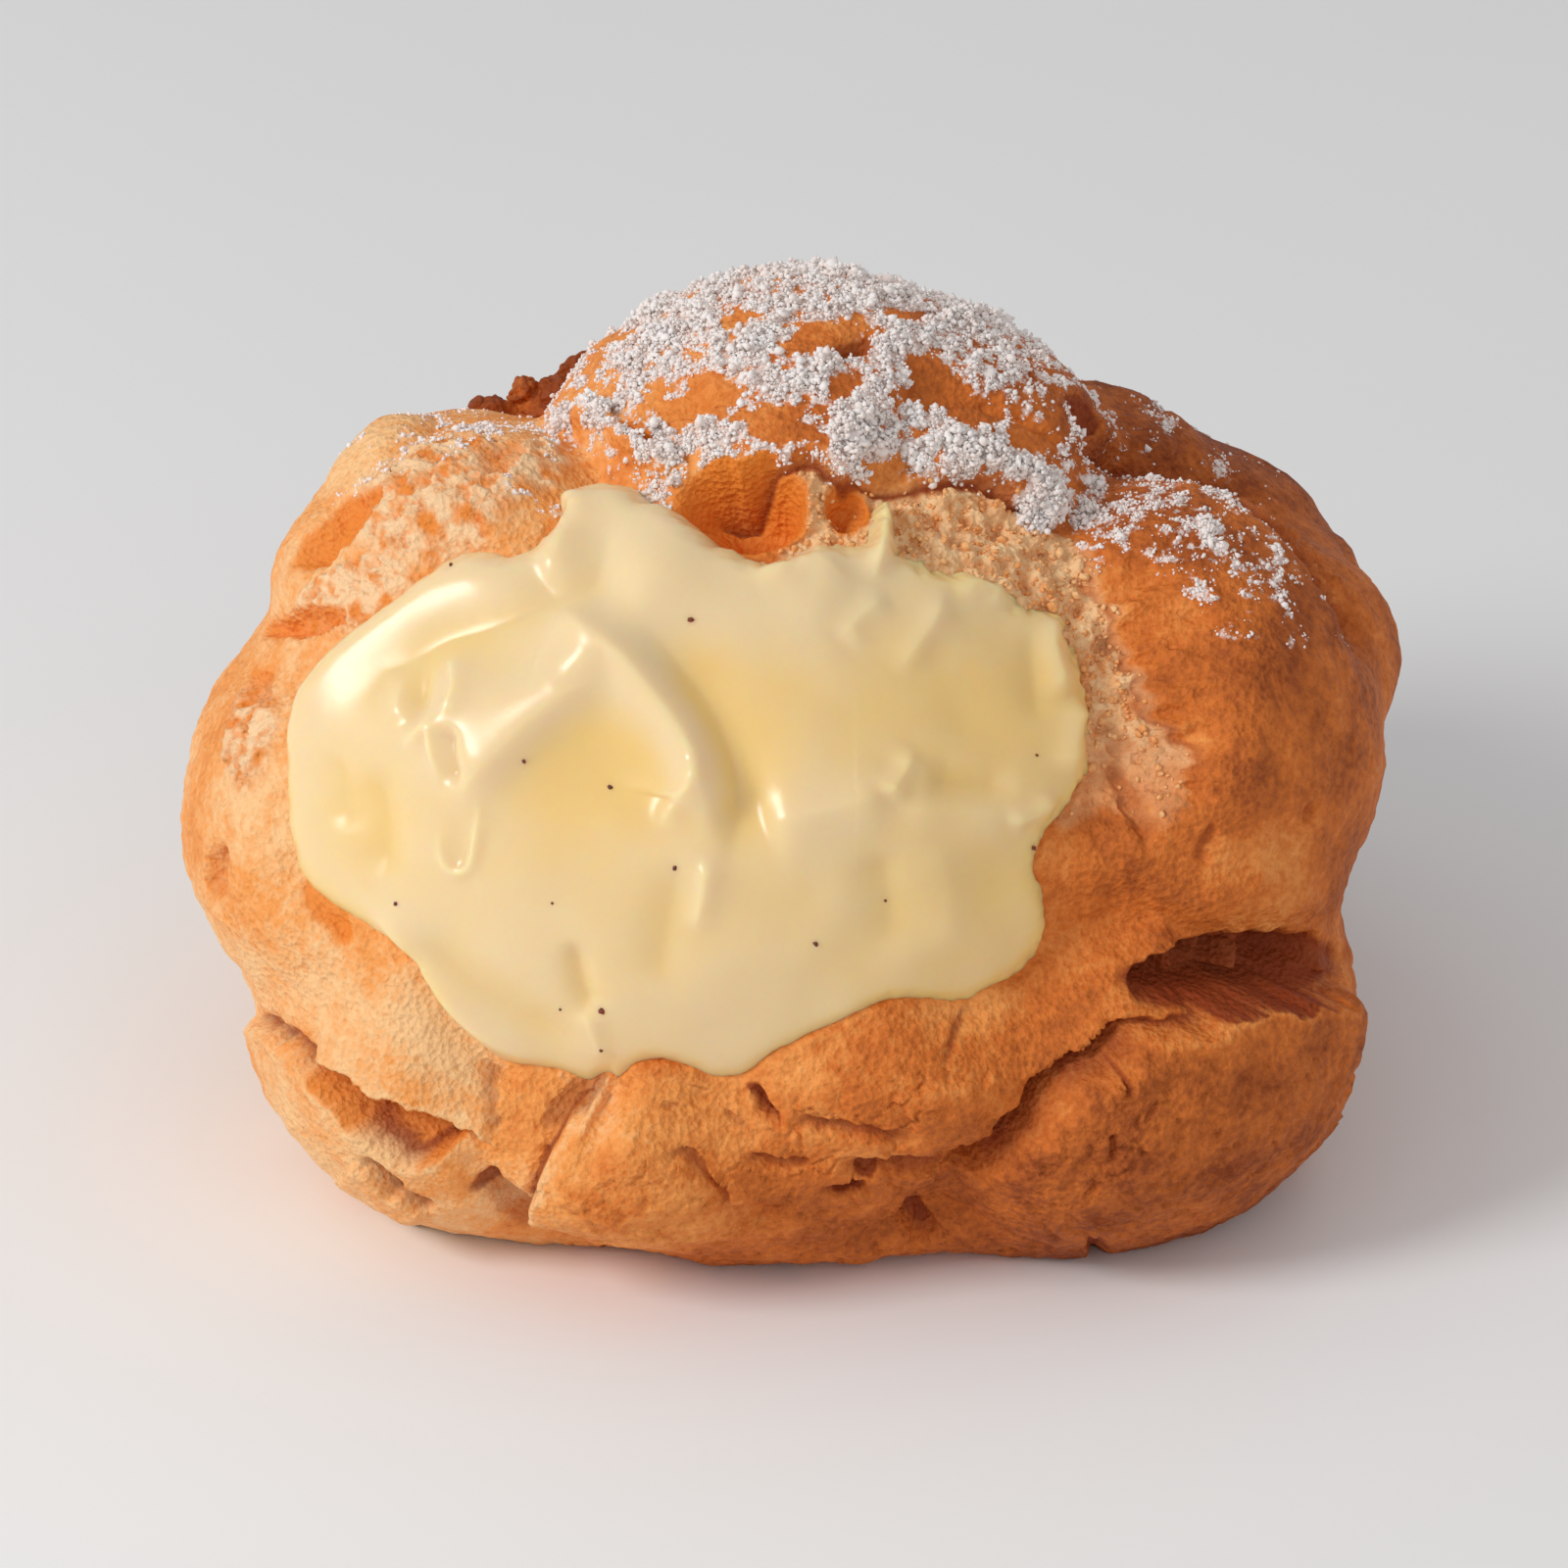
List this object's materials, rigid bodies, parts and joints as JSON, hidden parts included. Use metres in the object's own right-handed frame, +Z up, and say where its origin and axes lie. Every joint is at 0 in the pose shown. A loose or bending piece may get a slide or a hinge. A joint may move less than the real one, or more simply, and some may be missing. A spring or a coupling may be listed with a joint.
{
  "type": "cream puff",
  "caption": "Large lobed cream puff, torn open at the front, with pale vanilla custard bulging out and icing sugar on top.",
  "frame": {"origin": "bottom centre of the bounding box, on the surface that the puff rests on", "axes": "+Z up, -Y out of the torn side that shows the custard, +X to the right as seen from that side"},
  "size_m": [0.087, 0.0766, 0.0615],
  "materials": {
    "choux_crust": "baked choux crust, matte, golden to deep brown",
    "custard": "smooth moist custard, soft gloss",
    "icing_sugar": "dry white powder",
    "vanilla_seed": "tiny dark seed specks"
  },
  "bodies": {
    "root": {"choux_shell": "choux_crust", "custard_filling": "custard"}
  },
  "joints": []
}
